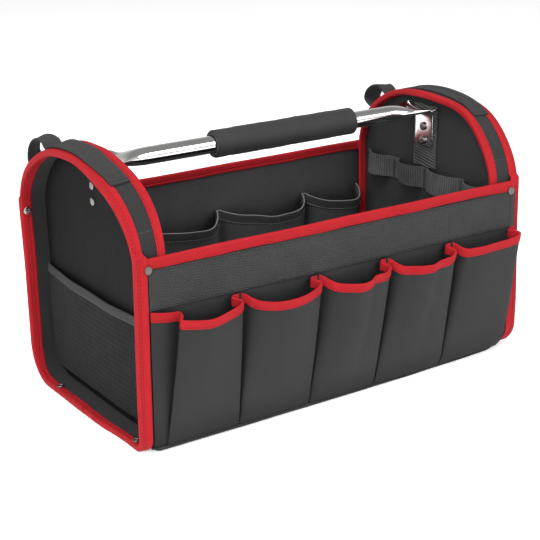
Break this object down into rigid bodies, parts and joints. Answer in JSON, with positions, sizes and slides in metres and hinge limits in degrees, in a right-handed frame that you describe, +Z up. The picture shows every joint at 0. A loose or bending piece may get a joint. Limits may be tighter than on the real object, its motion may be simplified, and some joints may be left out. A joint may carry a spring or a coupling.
{
  "type": "open tool bag",
  "caption": "Open-topped tool bag with arched ends, pleated front and inside pockets, net end pockets, elastic loops, red edge tape and a chrome tube carry handle with a foam grip.",
  "frame": {"origin": "middle of the base's underside, on the floor", "axes": "+X along the bag to the right, -Y towards the pocketed front wall, +Z up"},
  "size_m": [0.5, 0.285, 0.2897],
  "materials": {
    "cloth": "black coated woven polyester, matt",
    "pocket_cloth": "black coated woven polyester, matt",
    "tape": "red folded binding tape with stitch lines",
    "webbing": "ribbed dark grey webbing",
    "elastic": "black ribbed elastic",
    "net": "black knitted net",
    "hem": "black folded cloth hem",
    "chrome": "bright chrome plate",
    "foam": "black closed-cell foam, matt",
    "steel": "dull gunmetal plate"
  },
  "bodies": {
    "root": {"back_top_binding": "tape", "back_wall": "cloth", "base": "cloth", "front_pocket_1": "pocket_cloth", "front_pocket_2": "pocket_cloth", "front_pocket_3": "pocket_cloth", "front_pocket_4": "pocket_cloth", "front_pocket_5": "pocket_cloth", "front_pocket_binding": "tape", "front_top_binding": "tape", "front_wall": "cloth", "front_webbing": "webbing", "handle_grip": "foam", "handle_tube": "chrome", "inside_pocket_1": "pocket_cloth", "inside_pocket_2": "pocket_cloth", "inside_pocket_3": "pocket_cloth", "inside_pocket_4": "pocket_cloth", "inside_pocket_hem": "hem", "left_anchor": "webbing", "left_back_rivet": "steel", "left_base_screw_1": "steel", "left_base_screw_2": "steel", "left_bracket_screw_1": "steel", "left_bracket_screw_2": "steel", "left_elastic": "elastic", "left_front_rivet": "steel", "left_gusset": "cloth", "left_inner_binding": "tape", "left_mesh_hem": "hem", "left_mesh_pocket": "net", "left_outer_binding": "tape", "left_panel": "cloth", "left_strap": "webbing", "right_anchor": "webbing", "right_back_rivet": "steel", "right_base_screw_1": "steel", "right_base_screw_2": "steel", "right_bracket_screw_1": "steel", "right_bracket_screw_2": "steel", "right_elastic": "elastic", "right_front_rivet": "steel", "right_gusset": "cloth", "right_inner_binding": "tape", "right_mesh_hem": "hem", "right_mesh_pocket": "net", "right_outer_binding": "tape", "right_panel": "cloth", "right_strap": "webbing"}
  },
  "joints": []
}
